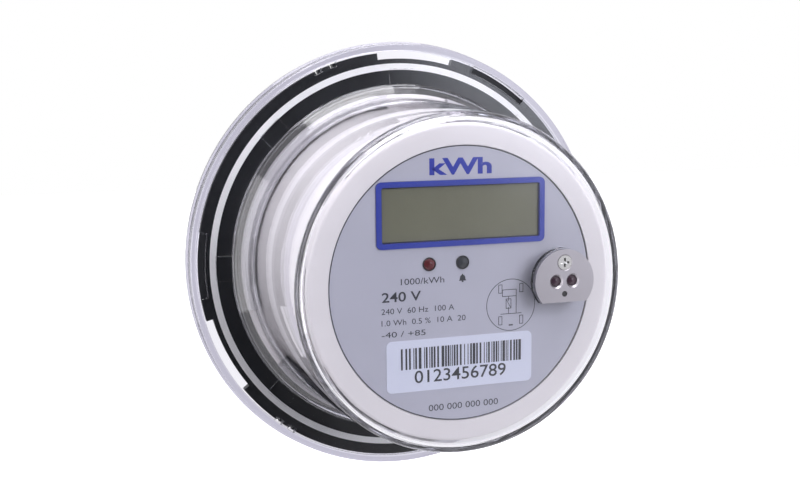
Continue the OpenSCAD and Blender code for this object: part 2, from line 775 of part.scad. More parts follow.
module current_sensor_case() {
    color([0.08, 0.09, 0.12]) facing() at_sensor() difference() {
        translate([0, 0, -sensor_h / 2]) cylinder(r = sensor_r, h = sensor_h, $fn = 96);
        translate([0, 0, -sensor_h / 2 - 1]) cylinder(r = sensor_hole_r, h = sensor_h + 2, $fn = 96);
        translate([0, 0, -sensor_h / 2 - 1]) rotate_extrude()
            translate([sensor_hole_r + 1.5, 0]) square([sensor_r - sensor_hole_r - 3, sensor_h - 0.5]);
    }
}

module current_sensor_core() {
    color([0.55, 0.50, 0.42]) facing() at_sensor() translate([0, 0, -sensor_h / 2]) rotate_extrude()
        translate([sensor_hole_r + 1.5 + fit, 0])
            square([sensor_r - sensor_hole_r - 3 - 2 * fit, sensor_h - 1.5 - fit]);
}

module current_sensor_leads() {
    edge_x = -bar_x + sensor_r + 0.65;
    color([0.75, 0.70, 0.15]) facing() for (y = [-2, 2])
        wire_path([[edge_x, y, bar_mid_d], [edge_x + 4, y, bar_mid_d + 3],
            [edge_x + 5, y, meter_board_d - 4], [edge_x + 5, y, meter_board_d - 0.1]], 0.8);
}

// Bar on one side, from the upper blade's tab to the lower one's
module bar(side) {
    difference() {
        block(side * bar_x, 0, bar_t - 2 * fit, 2 * bar_half, bar_low_d, bar_top_d);
        for (y = [-1, 1]) translate([side * bar_x - bar_t, y * bar_screw_z, bar_mid_d])
            rotate([0, 90, 0]) cylinder(r = 2.1, h = 2 * bar_t, $fn = 32);
    }
}

module current_bar() {
    color([0.80, 0.48, 0.30]) facing() bar(-1);
}

module neutral_bar() {
    color([0.80, 0.48, 0.30]) facing() bar(1);
}

module supply_lead(side) {
    wire_path([[side * bar_x, 26, bar_top_d + 0.9], [side * bar_x, 26, bar_top_d + 5],
        [side * (bar_x + 7), 18, meter_board_d - 4], [side * (bar_x + 7), 18, meter_board_d - 0.1]], 0.9);
}

module line_lead() {
    color([0.75, 0.12, 0.10]) facing() supply_lead(-1);
}

module neutral_lead() {
    color([0.88, 0.88, 0.86]) facing() supply_lead(1);
}

// Four places of the bar screws, with z pointing outwards along the screw
module at_bar_screws() {
    for (s = [-1, 1], y = [-1, 1])
        translate([s * (blade_x + blade_t / 2), y * bar_screw_z, bar_mid_d]) rotate([0, s * 90, 0])
            children();
}

module bar_screws() {
    color([0.70, 0.71, 0.72]) facing() at_bar_screws() difference() {
        union() {
            translate([0, 0, fit]) cylinder(r = 3.4, h = 1.7, $fn = 48);
            translate([0, 0, -bar_grip - 4]) cylinder(r = 2, h = bar_grip + 4.5, $fn = 32);
        }
        translate([-3.6, -0.5, 1]) cube([7.2, 1, 2]);
    }
}

module bar_nuts() {
    color([0.70, 0.71, 0.72]) facing() at_bar_screws() difference() {
        translate([0, 0, -bar_grip - 3.2]) cylinder(r = 4, h = 3.2, $fn = 6);
        translate([0, 0, -bar_grip - 4]) cylinder(r = 2.05, h = 5, $fn = 32);
    }
}

// Blade in the corner given by two signs: a wide part behind and a narrow tab inside
module blade(sx, sy) {
    tip = 2;
    mid = blade_t / 2;
    difference() {
        union() {
            translate([sx * blade_x - mid, sy * blade_z - blade_w / 2, -blade_out + tip])
                cube([blade_t, blade_w, blade_out - tip + deck_d - 2]);
            translate([sx * blade_x + mid, sy * blade_z, -blade_out + tip]) rotate([0, -90, 0])
                linear_extrude(blade_t) polygon([[eps, -blade_w / 2], [eps, blade_w / 2],
                    [-tip, blade_w / 2 - tip], [-tip, -blade_w / 2 + tip]]);
            translate([sx * blade_x - mid, sy * bar_screw_z - tab_w / 2, 0])
                cube([blade_t, tab_w, bar_top_d]);
        }
        translate([sx * blade_x - blade_t, sy * bar_screw_z, bar_mid_d]) rotate([0, 90, 0])
            cylinder(r = 2.1, h = 2 * blade_t, $fn = 32);
        translate([sx * blade_x - blade_t, sy * blade_z, cotter_d]) rotate([0, 90, 0])
            cylinder(r = 1.25, h = 2 * blade_t, $fn = 32);
    }
}

module blade_upper_left() {
    color([0.72, 0.72, 0.70]) facing() blade(-1, 1);
}

module blade_lower_left() {
    color([0.72, 0.72, 0.70]) facing() blade(-1, -1);
}

module blade_upper_right() {
    color([0.72, 0.72, 0.70]) facing() blade(1, 1);
}

module blade_lower_right() {
    color([0.72, 0.72, 0.70]) facing() blade(1, -1);
}

module cotter_pins() {
    half = blade_t / 2 + boss_wall - 0.1;
    color([0.60, 0.58, 0.50]) facing() at_blades() translate([0, 0, cotter_d]) rotate([0, 90, 0]) {
        translate([0, 0, -half]) cylinder(r = 1.2, h = 2 * half, $fn = 32);
        translate([0, 0, half - 0.9]) cylinder(r = 1.5, h = 0.9, $fn = 32);
    }
}

cover();
port_plate();
port_insert();
port_light_guides();
port_screw();
base();
cover_seal();
inner_housing();
housing_screws();
nameplate();
barcode_label();
display_frame();
display_glass();
display_reflector();
display_holder();
contact_strips();
pulse_window();
alarm_window();
pulse_led();
alarm_led();
infrared_emitter();
infrared_receiver();
display_board();
processor();
memory_chip();
board_screws();
upper_pillars();
lower_pillars();
board_link();
metering_board();
metering_chip();
crystal();
transformer_core();
transformer_coil();
mains_capacitor();
varistor();
smoothing_capacitors();
backup_battery();
battery_holder();
lead_terminal();
current_sensor_case();
current_sensor_core();
current_sensor_leads();
current_bar();
neutral_bar();
line_lead();
neutral_lead();
bar_screws();
bar_nuts();
blade_upper_left();
blade_lower_left();
blade_upper_right();
blade_lower_right();
cotter_pins();
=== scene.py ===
# %% [markdown]
# # A plug-in electricity meter, finished in Blender
# The meter comes in as a imported CAD model: 54 separate nodes on two bodies, the meter and its clear
# twist-off cover. Blender adds what CAD leaves out: the finish of every surface, the print on the
# nameplate, the lens shapes and the studio. The display faces -Y, +Z is up, and the origin lies on the
# meter's axis where its rim rests on the wall socket.

# %% Load the frame
import json
import math
import random

import bmesh
import bpy
from mathutils import Matrix, Vector


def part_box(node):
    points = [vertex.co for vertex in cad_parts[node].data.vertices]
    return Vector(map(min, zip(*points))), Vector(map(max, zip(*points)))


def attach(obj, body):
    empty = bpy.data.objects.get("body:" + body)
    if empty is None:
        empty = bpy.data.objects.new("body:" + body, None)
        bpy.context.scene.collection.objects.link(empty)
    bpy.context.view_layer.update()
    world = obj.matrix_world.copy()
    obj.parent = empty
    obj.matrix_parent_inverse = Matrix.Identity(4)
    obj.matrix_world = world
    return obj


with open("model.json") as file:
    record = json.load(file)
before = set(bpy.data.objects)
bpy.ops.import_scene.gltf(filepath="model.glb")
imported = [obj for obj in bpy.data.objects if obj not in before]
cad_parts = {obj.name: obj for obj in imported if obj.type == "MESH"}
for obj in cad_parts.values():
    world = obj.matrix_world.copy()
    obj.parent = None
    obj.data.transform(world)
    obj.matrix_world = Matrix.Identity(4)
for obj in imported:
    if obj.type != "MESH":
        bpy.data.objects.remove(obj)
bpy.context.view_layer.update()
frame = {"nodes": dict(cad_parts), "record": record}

# %% [markdown]
# Every place is read from the frame, so a change in the CAD model moves the finish with it.
# Millimetres are easier to think in for small print, so one short name turns them into metres.

# %% Sizes read from the frame
MM = 0.001


def low(node):
    """The lowest corner of a CAD node."""
    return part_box(node)[0]


def high(node):
    """The highest corner of a CAD node."""
    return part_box(node)[1]


def middle(node):
    """The middle of a CAD node's box."""
    return (low(node) + high(node)) / 2


def width(node):
    """The size of a CAD node's box along X."""
    return high(node).x - low(node).x


rim_r = high("cover").x
plate_face = low("nameplate").y
label_face = low("barcode_label").y
print("rim radius", round(rim_r / MM, 2), "mm, nameplate face at", round(plate_face / MM, 2), "mm")

# %% [markdown]
# The camera stands in front, a little to the left and a little above, about 0.4 m away. It comes
# first, because every finish is judged through it. A small roll matches how the meter was stood up.

# %% Camera
AIM = Vector((-0.01176, -0.040, 0.00822))
CAMERA_TURN = math.radians(-18.04)
CAMERA_RISE = math.radians(8.13)
CAMERA_ROLL = math.radians(-0.63)
CAMERA_DISTANCE = 0.40728
LENS_MM = 48.07
SENSOR_MM = 36
NEAREST = 0.01

towards = Vector((math.sin(CAMERA_TURN) * math.cos(CAMERA_RISE),
                  -math.cos(CAMERA_TURN) * math.cos(CAMERA_RISE),
                  math.sin(CAMERA_RISE)))
camera_data = bpy.data.cameras.new("camera")
camera_data.lens = LENS_MM
camera_data.sensor_width = SENSOR_MM
camera_data.clip_start = NEAREST
camera = bpy.data.objects.new("camera", camera_data)
bpy.context.scene.collection.objects.link(camera)
look = (-towards).to_track_quat("-Z", "Y").to_matrix().to_4x4()
camera.matrix_world = (Matrix.Translation(AIM + towards * CAMERA_DISTANCE) @ look
                       @ Matrix.Rotation(CAMERA_ROLL, 4, "Z"))
bpy.context.scene.camera = camera
print("camera at", tuple(round(c, 4) for c in camera.matrix_world.translation))

# %% [markdown]
# A clear object is only as good as what it mirrors. Product studios light one from the sides and
# above, with a bright backdrop behind and a dark room in front, so that faces turned to the camera
# stay deep and the rounded edges pick up long bright lines. The world does the backdrop and the dark
# room, and area lamps do the soft boxes. The view of the background itself is plain white.

# %% World
BACKDROP = (1.0, 0.99, 1.04)
DARK_ROOM = (0.022, 0.023, 0.028)
DARK_AXIS = Vector((-0.22, -0.975, -0.05)).normalized()
DARK_EDGE = math.cos(math.radians(24))
BRIGHT_EDGE = math.cos(math.radians(50))

world = bpy.data.worlds.new("studio")
bpy.context.scene.world = world
world.use_nodes = True
sky = world.node_tree
sky.nodes.clear()
sky_out = sky.nodes.new("ShaderNodeOutputWorld")
seen = sky.nodes.new("ShaderNodeBackground")
seen.inputs["Color"].default_value = (1, 1, 1, 1)
mirrored = sky.nodes.new("ShaderNodeBackground")
direction = sky.nodes.new("ShaderNodeTexCoord")
towards_dark = sky.nodes.new("ShaderNodeVectorMath")
towards_dark.operation = "DOT_PRODUCT"
towards_dark.inputs[1].default_value = DARK_AXIS
shift = sky.nodes.new("ShaderNodeMapRange")
shift.interpolation_type = "SMOOTHSTEP"
shift.inputs["From Min"].default_value = DARK_EDGE
shift.inputs["From Max"].default_value = BRIGHT_EDGE
room = sky.nodes.new("ShaderNodeMix")
room.data_type = "RGBA"
room.inputs["A"].default_value = (*DARK_ROOM, 1)
room.inputs["B"].default_value = (*BACKDROP, 1)
paths = sky.nodes.new("ShaderNodeLightPath")
pick = sky.nodes.new("ShaderNodeMixShader")
sky.links.new(direction.outputs["Generated"], towards_dark.inputs[0])
sky.links.new(towards_dark.outputs["Value"], shift.inputs["Value"])
sky.links.new(shift.outputs["Result"], room.inputs["Factor"])
sky.links.new(paths.outputs["Is Camera Ray"], pick.inputs["Fac"])
sky.links.new(mirrored.outputs[0], pick.inputs[1])
sky.links.new(seen.outputs[0], pick.inputs[2])
sky.links.new(pick.outputs[0], sky_out.inputs["Surface"])
bpy.context.scene.view_settings.view_transform = "Standard"
print("dark room towards", tuple(round(c, 2) for c in DARK_AXIS))

# %% [markdown]
# A soft glow high on the right is mirrored in that side of the flange only, so the flange reads as a
# clear sheet over the black base. It has no edge, as a lamp would, so no line crosses the front. Its
# colour is mixed over the dark room's, and only then given to the world that is mirrored.

# %% Glow on the right
GLOW_AXIS = Vector((0.50, -0.85, 0.15)).normalized()
GLOW = (2.6, 2.7, 3.0)
GLOW_RIM = math.cos(math.radians(16))
GLOW_CORE = math.cos(math.radians(4))

towards_glow = sky.nodes.new("ShaderNodeVectorMath")
towards_glow.operation = "DOT_PRODUCT"
towards_glow.inputs[1].default_value = GLOW_AXIS
rise = sky.nodes.new("ShaderNodeMapRange")
rise.interpolation_type = "SMOOTHSTEP"
rise.inputs["From Min"].default_value = GLOW_RIM
rise.inputs["From Max"].default_value = GLOW_CORE
lit_room = sky.nodes.new("ShaderNodeMix")
lit_room.data_type = "RGBA"
lit_room.inputs["B"].default_value = (*GLOW, 1)
sky.links.new(direction.outputs["Generated"], towards_glow.inputs[0])
sky.links.new(towards_glow.outputs["Value"], rise.inputs["Value"])
sky.links.new(rise.outputs["Result"], lit_room.inputs["Factor"])
sky.links.new(room.outputs["Result"], lit_room.inputs["A"])
sky.links.new(lit_room.outputs["Result"], mirrored.inputs["Color"])
print("glow towards", tuple(round(c, 2) for c in GLOW_AXIS))

# %% [markdown]
# Light that enters the edge of a clear wall runs along inside it, mirrored from side to side many
# times, until it comes out somewhere else. The usual four mirror steps would end such a ray too
# early and leave a black line round the front edge, so more steps are allowed.

# %% Steps of a light ray
MIRROR_STEPS = 24
MOST_STEPS = 32

light_paths = bpy.context.scene.cycles
light_paths.glossy_bounces = MIRROR_STEPS
light_paths.transmission_bounces = MIRROR_STEPS
light_paths.max_bounces = MOST_STEPS
print("mirror steps:", light_paths.glossy_bounces)

# %% [markdown]
# Each soft box is one rectangular area lamp aimed at the meter. Two of the lamps are fills: they
# brighten the white housing and the nameplate behind the plastic, and are mirrored in nothing. In a
# real studio that takes a polarising filter; here a lamp can simply be hidden from mirror rays.

# %% Soft boxes
STAGE_CENTRE = Vector((0, -0.04, 0))
COOL = (0.98, 0.97, 1.0)


def soft_box(name, place, box_width, box_height, watts, mirrored_too=True):
    """A rectangular area lamp that faces the meter. A fill lamp isn't mirrored in anything."""
    data = bpy.data.lights.new(name, "AREA")
    data.shape = "RECTANGLE"
    data.size = box_width
    data.size_y = box_height
    data.energy = watts
    data.color = COOL
    lamp = bpy.data.objects.new(name, data)
    facing = (STAGE_CENTRE - Vector(place)).to_track_quat("-Z", "Y").to_matrix().to_4x4()
    lamp.matrix_world = Matrix.Translation(place) @ facing
    lamp.visible_glossy = mirrored_too
    lamp.visible_transmission = mirrored_too
    bpy.context.scene.collection.objects.link(lamp)
    return lamp


soft_box("left_box", (-0.95, -0.10, 0.05), 0.9, 1.1, 4.4)
soft_box("left_fill", (-0.95, -0.10, 0.05), 0.9, 1.1, 4.0, False)
soft_box("top_box", (-0.05, -0.15, 0.95), 0.9, 0.7, 8.6)
soft_box("front_fill", (0.55, -1.05, 0.45), 0.7, 0.7, 10.0, False)

# %% [markdown]
# Every new piece is a bmesh turned into an object, and every finish starts from the same shader, so
# both jobs get a helper. The object stays at the origin and the place is kept in the mesh, so that a
# pattern in object coordinates has the same scale and direction on every piece.

# %% Building helpers
SAME_PLACE = 1e-7


def mesh_piece(name, shape, material, smooth=False):
    """Turns a finished bmesh into an object with its place in its mesh."""
    bmesh.ops.remove_doubles(shape, verts=shape.verts, dist=SAME_PLACE)
    bmesh.ops.recalc_face_normals(shape, faces=shape.faces)
    mesh = bpy.data.meshes.new(name)
    shape.to_mesh(mesh)
    shape.free()
    mesh.materials.append(material)
    for face in mesh.polygons:
        face.use_smooth = smooth
    piece = bpy.data.objects.new(name, mesh)
    bpy.context.scene.collection.objects.link(piece)
    return piece


def blank(name):
    """A new material with its node tree and its Principled shader."""
    material = bpy.data.materials.new(name)
    material.use_nodes = True
    tree = material.node_tree
    return material, tree, tree.nodes["Principled BSDF"]


print("corners closer than", SAME_PLACE, "m are merged")

# %% [markdown]
# The floor is a plain pale sheet well below the meter, since a meter hangs on a wall. A little glow of
# its own keeps it as pale as the backdrop, and it is hidden from mirror rays so that no horizon crosses
# the clear flange.

# %% Floor
FLOOR_Z = -0.30
FLOOR_HALF = 4
FLOOR_GLOW = 0.75

floor_paint, tree, skin = blank("floor_paint")
skin.inputs["Base Color"].default_value = (0.9, 0.9, 0.9, 1)
skin.inputs["Roughness"].default_value = 0.8
skin.inputs["Emission Color"].default_value = (1, 1, 1, 1)
skin.inputs["Emission Strength"].default_value = FLOOR_GLOW
shape = bmesh.new()
bmesh.ops.create_grid(shape, x_segments=1, y_segments=1, size=FLOOR_HALF)
bmesh.ops.translate(shape, verts=shape.verts, vec=(0, 0, FLOOR_Z))
floor = mesh_piece("floor", shape, floor_paint)
floor.visible_glossy = False
floor.visible_transmission = False
print("floor", round(FLOOR_Z, 2), "m below the axis")

# %% [markdown]
# A moulded or pressed surface is never one flat colour: it has a cloudy tone, uneven gloss, a fine
# grain, and edges that are rubbed a little paler. A few short helpers build those from noise. They read
# object coordinates, which stay put when a body turns.

# %% Material helpers
def noise(tree, size_mm, detail=2.0, stretch=None):
    """Soft noise with features of about this size."""
    place = tree.nodes.new("ShaderNodeTexCoord")
    field = tree.nodes.new("ShaderNodeTexNoise")
    field.inputs["Scale"].default_value = 1 / (size_mm * MM)
    field.inputs["Detail"].default_value = detail
    source = place.outputs["Object"]
    if stretch:
        turn = tree.nodes.new("ShaderNodeMapping")
        turn.inputs["Scale"].default_value = stretch
        tree.links.new(source, turn.inputs["Vector"])
        source = turn.outputs["Vector"]
    tree.links.new(source, field.inputs["Vector"])
    return field.outputs["Fac"]


def spread(tree, value, low_value, high_value, start=0.3, end=0.7):
    """Maps a noise value to a range of numbers."""
    span = tree.nodes.new("ShaderNodeMapRange")
    span.inputs["From Min"].default_value = start
    span.inputs["From Max"].default_value = end
    span.inputs["To Min"].default_value = low_value
    span.inputs["To Max"].default_value = high_value
    tree.links.new(value, span.inputs["Value"])
    return span.outputs["Result"]


def tint(tree, value, dark, light):
    """Mixes two colours by a value."""
    mix = tree.nodes.new("ShaderNodeMix")
    mix.data_type = "RGBA"
    mix.inputs["A"].default_value = (*dark, 1)
    mix.inputs["B"].default_value = (*light, 1)
    tree.links.new(value, mix.inputs["Factor"])
    return mix.outputs["Result"]


def relief(tree, skin, height, depth_mm):
    """Raises the surface by a value."""
    bump = tree.nodes.new("ShaderNodeBump")
    bump.inputs["Distance"].default_value = depth_mm * MM
    tree.links.new(height, bump.inputs["Height"])
    tree.links.new(bump.outputs["Normal"], skin.inputs["Normal"])


print("noise, spread, tint and relief are ready")

# %% [markdown]
# Edge wear compares the true normal with one that is rounded over the nearest corner: they differ at
# edges only. Another noise breaks the rubbed line up, since no edge is rubbed evenly.

# %% Rubbed edges
BEVEL_SAMPLES = 4
RUB_PATCH = 2.5
FLAT = 0.99
SHARP = 0.80


def rounded_edges(tree, radius_mm):
    """A normal that rounds the corners over by this much."""
    bevel = tree.nodes.new("ShaderNodeBevel")
    bevel.samples = BEVEL_SAMPLES
    bevel.inputs["Radius"].default_value = radius_mm * MM
    return bevel.outputs["Normal"]


def worn(tree, radius_mm, strength):
    """Rises from 0 on flat faces to the strength at rubbed edges, broken up by noise."""
    geometry = tree.nodes.new("ShaderNodeNewGeometry")
    same = tree.nodes.new("ShaderNodeVectorMath")
    same.operation = "DOT_PRODUCT"
    tree.links.new(rounded_edges(tree, radius_mm), same.inputs[0])
    tree.links.new(geometry.outputs["Normal"], same.inputs[1])
    edge = spread(tree, same.outputs["Value"], strength, 0, SHARP, FLAT)
    rub = tree.nodes.new("ShaderNodeMath")
    rub.operation = "MULTIPLY"
    tree.links.new(edge, rub.inputs[0])
    tree.links.new(spread(tree, noise(tree, RUB_PATCH, 4), 0.2, 1), rub.inputs[1])
    return rub.outputs["Value"]


print("edges are rubbed in patches of about", RUB_PATCH, "mm")

# %% [markdown]
# With these, one function makes any solid finish: a moulding, a film, a metal or a painted part. Sizes
# are in millimetres, and each finish states only what makes it different from plain moulded plastic.

# %% A solid finish
CLOUD = 14
RUB_WIDTH = 0.25
PALER = 1.35
PALER_BY = 0.03


def surface(name, colour, rough, grain=0.3, depth=0.004, vary=0.06, metal=0.0, stretch=None,
            specular=0.5, wear=0.35):
    """A solid finish: cloudy colour, uneven gloss, fine grain and edges rubbed a little paler."""
    material, tree, skin = blank(name)
    dark = tuple(c * (1 - vary) for c in colour)
    light = tuple(min(1, c * (1 + vary)) for c in colour)
    patches = spread(tree, noise(tree, CLOUD, 4), 0, 1)
    body = tint(tree, patches, dark, light)
    rub = tree.nodes.new("ShaderNodeMix")
    rub.data_type = "RGBA"
    rub.inputs["B"].default_value = (*(min(1, c * PALER + PALER_BY) for c in colour), 1)
    tree.links.new(body, rub.inputs["A"])
    tree.links.new(worn(tree, RUB_WIDTH, wear), rub.inputs["Factor"])
    tree.links.new(rub.outputs["Result"], skin.inputs["Base Color"])
    fine = noise(tree, grain, 3, stretch)
    tree.links.new(spread(tree, fine, rough * 0.85, rough * 1.15), skin.inputs["Roughness"])
    relief(tree, skin, fine, depth)
    skin.inputs["Metallic"].default_value = metal
    skin.inputs["Specular IOR Level"].default_value = specular
    return material


print("cloudy patches of about", CLOUD, "mm, edges rubbed", RUB_WIDTH, "mm wide")

# %% [markdown]
# The cover is clear polycarbonate. It bends the view a little more than glass, and a long way through
# it looks lavender, which is why its rim is darker than its front. Lamps have to shine through it onto
# the nameplate, and a path tracer stops their shadow rays at bent plastic, so for those rays alone it
# is plainly see-through. Its moulded edges are slightly round and catch thin bright lines. The thick
# skirt at the rim is seen end on, so its colour is painted darker there: painted shade for the long
# way through the plastic, which itself is the same clear colour all through.

# %% Clear plastic
SKIRT_R = rim_r - 3.6 * MM
SKIRT_PAINTED_SHADE = (0.60, 0.59, 0.67)
SKIRT_SHADE_FADE = 0.3 * MM
EDGE_ROUND = 0.3
HAZE_PATCH = 11
MOST_HAZE = 0.02


def clear(name, colour, ior, shadow, deep, density):
    """Clear plastic that bends the view and lets lamps through to what is behind it."""
    material, tree, skin = blank(name)
    place = tree.nodes.new("ShaderNodeTexCoord")
    across = tree.nodes.new("ShaderNodeVectorMath")
    across.operation = "MULTIPLY"
    across.inputs[1].default_value = (1, 0, 1)
    radius = tree.nodes.new("ShaderNodeVectorMath")
    radius.operation = "LENGTH"
    tree.links.new(place.outputs["Object"], across.inputs[0])
    tree.links.new(across.outputs["Vector"], radius.inputs[0])
    # Painted shade: the clear colour darkens outside the skirt radius, for the long way through the
    # plastic.
    skirt = spread(tree, radius.outputs["Value"], 0, 1, SKIRT_R - SKIRT_SHADE_FADE, SKIRT_R + SKIRT_SHADE_FADE)
    tree.links.new(tint(tree, skirt, colour, SKIRT_PAINTED_SHADE), skin.inputs["Base Color"])
    skin.inputs["IOR"].default_value = ior
    haze = noise(tree, HAZE_PATCH, 3)
    tree.links.new(spread(tree, haze, 0.0, MOST_HAZE), skin.inputs["Roughness"])
    tree.links.new(rounded_edges(tree, EDGE_ROUND), skin.inputs["Normal"])
    skin.inputs["Transmission Weight"].default_value = 1
    path = tree.nodes.new("ShaderNodeLightPath")
    through = tree.nodes.new("ShaderNodeBsdfTransparent")
    through.inputs["Color"].default_value = (*shadow, 1)
    mix = tree.nodes.new("ShaderNodeMixShader")
    tree.links.new(path.outputs["Is Shadow Ray"], mix.inputs["Fac"])
    tree.links.new(skin.outputs[0], mix.inputs[1])
    tree.links.new(through.outputs[0], mix.inputs[2])
    tree.links.new(mix.outputs[0], tree.nodes["Material Output"].inputs["Surface"])
    depth = tree.nodes.new("ShaderNodeVolumeAbsorption")
    depth.inputs["Color"].default_value = (*deep, 1)
    depth.inputs["Density"].default_value = density
    tree.links.new(depth.outputs[0], tree.nodes["Material Output"].inputs["Volume"])
    return material


print("skirt tint from radius", round(SKIRT_R / MM, 2), "mm outwards")

# %% [markdown]
# Every material slot of the part's record gets its own finish here. The outside pieces were matched
# first. The pieces inside the housing can't be seen, and have the usual colours of such parts: a green
# board, black chips, a yellow tape round the transformer, copper bars and tinned blades.

# %% Finishes
finishes = {
    "clear_cover": clear("clear_cover", (0.985, 0.985, 0.995), ior=1.55, shadow=(0.94, 0.94, 0.95),
                         deep=(0.5, 0.5, 0.6), density=10),
    "port_steel": surface("port_steel", (0.53, 0.505, 0.54), 0.36, 0.12, 0.003, 0.04, 1.0),
    "black_insert": surface("black_insert", (0.02, 0.02, 0.022), 0.4),
    "infrared_window": surface("infrared_window", (0.03, 0.018, 0.026), 0.08, 0.5, 0.0005),
    "zinc_screw": surface("zinc_screw", (0.75, 0.74, 0.72), 0.22, 0.2, 0.002, 0.05, 1.0),
    "black_base": surface("black_base", (0.011, 0.0115, 0.014), 0.42, 0.35, 0.01, 0.15, specular=0.35,
                          wear=0.08),
    "white_seal": surface("white_seal", (0.97, 0.97, 0.975), 0.3, 0.4),
    "white_housing": surface("white_housing", (0.76, 0.735, 0.755), 0.38, 0.25, 0.006, 0.015,
                             wear=0.15),
    "nameplate_film": surface("nameplate_film", (0.47, 0.475, 0.555), 0.45, 0.12, 0.003, 0.02),
    "label_paper": surface("label_paper", (0.68, 0.71, 0.84), 0.5, 0.2, 0.003, 0.015),
    "blue_frame": surface("blue_frame", (0.035, 0.055, 0.35), 0.3, 0.25, 0.003, 0.05),
    "display_cell": surface("display_cell", (0.165, 0.167, 0.118), 0.25, 0.2, 0.0008, 0.03),
    "diffuser": surface("diffuser", (0.78, 0.80, 0.78), 0.5),
    "holder_plastic": surface("holder_plastic", (0.72, 0.72, 0.68), 0.5),
    "elastomer": surface("elastomer", (0.60, 0.25, 0.30), 0.6, 0.15),
    "red_lens": surface("red_lens", (0.085, 0.007, 0.011), 0.12, 0.5, 0.0005),
    "smoke_lens": surface("smoke_lens", (0.024, 0.027, 0.033), 0.12, 0.5, 0.0005),
    "led_epoxy": surface("led_epoxy", (0.6, 0.04, 0.04), 0.1, 0.5, 0.0005),
    "led_clear": surface("led_clear", (0.65, 0.62, 0.50), 0.1, 0.5, 0.0005),
    "infrared_epoxy": surface("infrared_epoxy", (0.03, 0.03, 0.06), 0.1, 0.5, 0.0005),
    "circuit_board": surface("circuit_board", (0.012, 0.13, 0.05), 0.25, 0.5, 0.002, 0.1),
    "chip_plastic": surface("chip_plastic", (0.02, 0.02, 0.022), 0.5, 0.1),
    "connector_plastic": surface("connector_plastic", (0.025, 0.025, 0.025), 0.45),
    "silver_can": surface("silver_can", (0.72, 0.73, 0.75), 0.25, 0.2, 0.002, 0.05, 1.0),
    "core_iron": surface("core_iron", (0.15, 0.15, 0.16), 0.5, 0.5, 0.02, 0.2, 0.6, (1, 8, 1)),
    "coil_tape": surface("coil_tape", (0.65, 0.48, 0.06), 0.35, 0.4),
    "capacitor_box": surface("capacitor_box", (0.03, 0.08, 0.35), 0.3),
    "varistor_blue": surface("varistor_blue", (0.02, 0.10, 0.45), 0.3, 0.8, 0.02),
    "sleeve_black": surface("sleeve_black", (0.03, 0.03, 0.04), 0.25),
    "terminal_green": surface("terminal_green", (0.03, 0.28, 0.08), 0.45),
    "sensor_case": surface("sensor_case", (0.02, 0.022, 0.035), 0.45),
    "ferrite": surface("ferrite", (0.20, 0.17, 0.14), 0.6, 0.4, 0.02, 0.15),
    "lead_yellow": surface("lead_yellow", (0.70, 0.60, 0.05), 0.4),
    "lead_red": surface("lead_red", (0.50, 0.02, 0.02), 0.4),
    "lead_white": surface("lead_white", (0.80, 0.80, 0.76), 0.4),
    "copper_bar": surface("copper_bar", (0.80, 0.42, 0.26), 0.3, 0.3, 0.003, 0.08, 1.0,
                          (1, 1, 0.06)),
    "tinned_blade": surface("tinned_blade", (0.62, 0.62, 0.60), 0.35, 0.25, 0.004, 0.08, 1.0,
                            (1, 0.08, 1)),
    "zinc_fastener": surface("zinc_fastener", (0.60, 0.61, 0.64), 0.32, 0.2, 0.003, 0.08, 1.0),
    "cotter_steel": surface("cotter_steel", (0.48, 0.45, 0.38), 0.4, 0.2, 0.004, 0.1, 1.0),
}
print("finishes:", len(finishes))

# %% [markdown]
# The base carries a collar that the housing stands in. The collar is black like the rest of the base;
# its grey is a painted reflection, the whitish veil that the clear cover's fillet mirrors over it. Both
# belong to one CAD node, so the base's finish looks at how far forward a point lies, and turns pale
# just above the seal.

# %% Painted reflection on the collar
COLLAR_Y = low("cover_seal").y - 0.6 * MM
COLLAR_FADE = 0.1 * MM
COLLAR_PAINTED_REFLECTION = (0.36, 0.35, 0.38)

tree = finishes["black_base"].node_tree
skin = tree.nodes["Principled BSDF"]
black = skin.inputs["Base Color"].links[0].from_socket
place = tree.nodes.new("ShaderNodeTexCoord")
parts = tree.nodes.new("ShaderNodeSeparateXYZ")
tree.links.new(place.outputs["Object"], parts.inputs["Vector"])
above = spread(tree, parts.outputs["Y"], 1, 0, COLLAR_Y - COLLAR_FADE, COLLAR_Y)
collar = tree.nodes.new("ShaderNodeMix")
collar.data_type = "RGBA"
# Painted reflection: grey in place of the black, for the veil that is mirrored over the collar.
collar.inputs["B"].default_value = (*COLLAR_PAINTED_REFLECTION, 1)
tree.links.new(black, collar.inputs["A"])
tree.links.new(above, collar.inputs["Factor"])
tree.links.new(collar.outputs["Result"], skin.inputs["Base Color"])
print("collar pale from", round(-COLLAR_Y / MM, 2), "mm in front of the socket plane")

# %% [markdown]
# The record says which material slot each node has, so putting the finishes on is one short loop.

# %% Finishes on the nodes
node_slots = {entry["node"]: entry["material_slot"] for entry in frame["record"]["subparts"]}
for name, node in frame["nodes"].items():
    node.data.materials.clear()
    node.data.materials.append(finishes[node_slots[name]])
print("nodes finished:", len(node_slots))

# %% [markdown]
# The nameplate is a printed film. Print could be an image, but an image blurs close up, so each line
# is a thin layer of real ink: a text curve, made a mesh, then stretched to its place and size. All the
# wording is plain numerals and unit signs. The large blue sign names only the unit that is measured.

# %% Print
INK_DEPTH = 0.03 * MM
CURVE_STEPS = 4
DARK_INK = surface("dark_ink", (0.035, 0.037, 0.045), 0.5, 0.2, 0.001, 0.1)
BLUE_INK = surface("blue_ink", (0.02, 0.035, 0.33), 0.4, 0.2, 0.001, 0.06)


def on_meter(piece):
    """Fixes a piece to the meter body."""
    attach(piece, "meter")
    return piece


